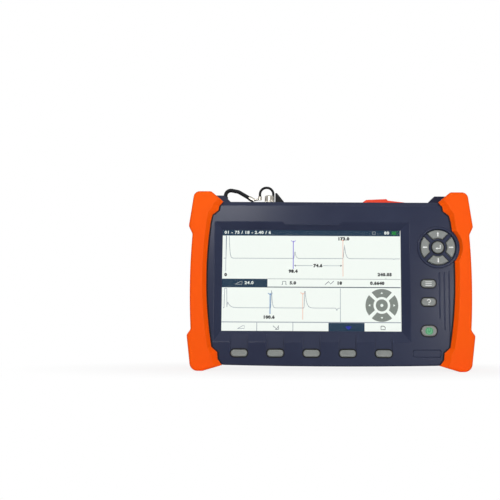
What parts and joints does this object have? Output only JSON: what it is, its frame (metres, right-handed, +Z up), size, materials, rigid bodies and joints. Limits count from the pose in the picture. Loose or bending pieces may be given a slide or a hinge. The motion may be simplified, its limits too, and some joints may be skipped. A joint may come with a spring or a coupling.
{
  "type": "time domain reflectometer",
  "caption": "Hand-held time domain reflectometer with rubber end bumpers, sunken colour display, soft keys, arrow pad and capped test port.",
  "frame": {"origin": "under the middle of the bumpers' rest faces, at the object's base", "axes": "+X to the right seen from the front, the display faces -Y, +Z up"},
  "size_m": [0.247, 0.06, 0.1675],
  "materials": {
    "housing": "fine-grained moulded polycarbonate",
    "bumper": "satin overmoulded rubber",
    "cover": "satin moulded rubber",
    "window": "clear polished",
    "display": "lit panel",
    "keys": "satin silicone",
    "black_rubber": "matte",
    "board": "solder resist",
    "steel": "zinc plated",
    "nickel": "polished nickel",
    "contact": "gold plated",
    "insulator": "white fluoropolymer",
    "black_plastic": "moulded",
    "battery": "shrink sleeve"
  },
  "bodies": {
    "case": {"front_housing": "housing", "rear_housing": "housing", "battery_door": "housing", "left_bumper": "bumper", "right_bumper": "bumper", "display_window": "window", "lcd_panel": "display", "housing_seal": "black_rubber", "window_gasket": "black_rubber", "display_gasket": "black_rubber", "door_seal": "black_rubber", "tether_arm": "black_rubber", "cap_loop": "black_rubber", "tether_gland": "black_rubber", "lcd_bracket": "steel", "key_board": "board", "main_board": "board", "io_board": "board", "key_switches": "black_plastic", "key_board_screws": "steel", "board_standoffs": "steel", "board_screws": "steel", "pulse_shield_can": "steel", "board_chips": "black_plastic", "beeper": "black_plastic", "display_cable": "black_plastic", "battery_pack": "battery", "door_screws": "steel", "housing_screws": "steel", "stand_pin": "steel", "test_port": "nickel", "port_nut": "nickel", "cap_ring": "nickel", "tether_crimp": "nickel", "port_insulator": "insulator", "port_contact": "contact", "aux_jack": "black_plastic", "io_screws": "steel", "usb_host_port": "steel", "usb_device_port": "steel", "charger_jack": "black_plastic", "cover_pin": "steel"},
    "soft_key_1_body": {"soft_key_1": "keys"},
    "soft_key_2_body": {"soft_key_2": "keys"},
    "soft_key_3_body": {"soft_key_3": "keys"},
    "soft_key_4_body": {"soft_key_4": "keys"},
    "soft_key_5_body": {"soft_key_5": "keys"},
    "arrow_up_body": {"arrow_up": "keys"},
    "arrow_down_body": {"arrow_down": "keys"},
    "arrow_left_body": {"arrow_left": "keys"},
    "arrow_right_body": {"arrow_right": "keys"},
    "enter_key_body": {"enter_key": "keys"},
    "menu_key_body": {"menu_key": "keys"},
    "help_key_body": {"help_key": "keys"},
    "power_key_body": {"power_key": "keys"},
    "dust_cap_body": {"dust_cap": "nickel"},
    "port_cover_body": {"port_cover": "cover"},
    "tilt_stand_body": {"tilt_stand": "housing"},
    "aux_plug_body": {"aux_plug": "black_rubber"}
  },
  "joints": [
    {"name": "soft_key_1_press", "type": "slide", "parent": "case", "child": "soft_key_1_body", "axis": [0, 1, 0], "range_m": [0, 0.0008], "stiffness_N_per_m": 1500},
    {"name": "soft_key_2_press", "type": "slide", "parent": "case", "child": "soft_key_2_body", "axis": [0, 1, 0], "range_m": [0, 0.0008], "stiffness_N_per_m": 1500},
    {"name": "soft_key_3_press", "type": "slide", "parent": "case", "child": "soft_key_3_body", "axis": [0, 1, 0], "range_m": [0, 0.0008], "stiffness_N_per_m": 1500},
    {"name": "soft_key_4_press", "type": "slide", "parent": "case", "child": "soft_key_4_body", "axis": [0, 1, 0], "range_m": [0, 0.0008], "stiffness_N_per_m": 1500},
    {"name": "soft_key_5_press", "type": "slide", "parent": "case", "child": "soft_key_5_body", "axis": [0, 1, 0], "range_m": [0, 0.0008], "stiffness_N_per_m": 1500},
    {"name": "arrow_up_press", "type": "slide", "parent": "case", "child": "arrow_up_body", "axis": [0, 1, 0], "range_m": [0, 0.0008], "stiffness_N_per_m": 1500},
    {"name": "arrow_down_press", "type": "slide", "parent": "case", "child": "arrow_down_body", "axis": [0, 1, 0], "range_m": [0, 0.0008], "stiffness_N_per_m": 1500},
    {"name": "arrow_left_press", "type": "slide", "parent": "case", "child": "arrow_left_body", "axis": [0, 1, 0], "range_m": [0, 0.0008], "stiffness_N_per_m": 1500},
    {"name": "arrow_right_press", "type": "slide", "parent": "case", "child": "arrow_right_body", "axis": [0, 1, 0], "range_m": [0, 0.0008], "stiffness_N_per_m": 1500},
    {"name": "enter_key_press", "type": "slide", "parent": "case", "child": "enter_key_body", "axis": [0, 1, 0], "range_m": [0, 0.0008], "stiffness_N_per_m": 1500},
    {"name": "menu_key_press", "type": "slide", "parent": "case", "child": "menu_key_body", "axis": [0, 1, 0], "range_m": [0, 0.0008], "stiffness_N_per_m": 1500},
    {"name": "help_key_press", "type": "slide", "parent": "case", "child": "help_key_body", "axis": [0, 1, 0], "range_m": [0, 0.0008], "stiffness_N_per_m": 1500},
    {"name": "power_key_press", "type": "slide", "parent": "case", "child": "power_key_body", "axis": [0, 1, 0], "range_m": [0, 0.0008], "stiffness_N_per_m": 1500},
    {"name": "dust_cap_turn", "type": "hinge", "parent": "case", "child": "dust_cap_body", "pos_m": [-0.0552, 0.013, 0.154], "axis": [0, 0, 1], "continuous": true},
    {"name": "port_cover_hinge", "type": "hinge", "parent": "case", "child": "port_cover_body", "pos_m": [0.0526, 0.0238, 0.1502], "axis": [-1, 0, 0], "range_deg": [0, 110]},
    {"name": "tilt_stand_hinge", "type": "hinge", "parent": "case", "child": "tilt_stand_body", "pos_m": [0, 0.023, 0.0565], "axis": [1, 0, 0], "range_deg": [0, 60]},
    {"name": "aux_plug_pull", "type": "slide", "parent": "case", "child": "aux_plug_body", "axis": [0, 0, 1], "range_m": [0, 0.012]}
  ]
}
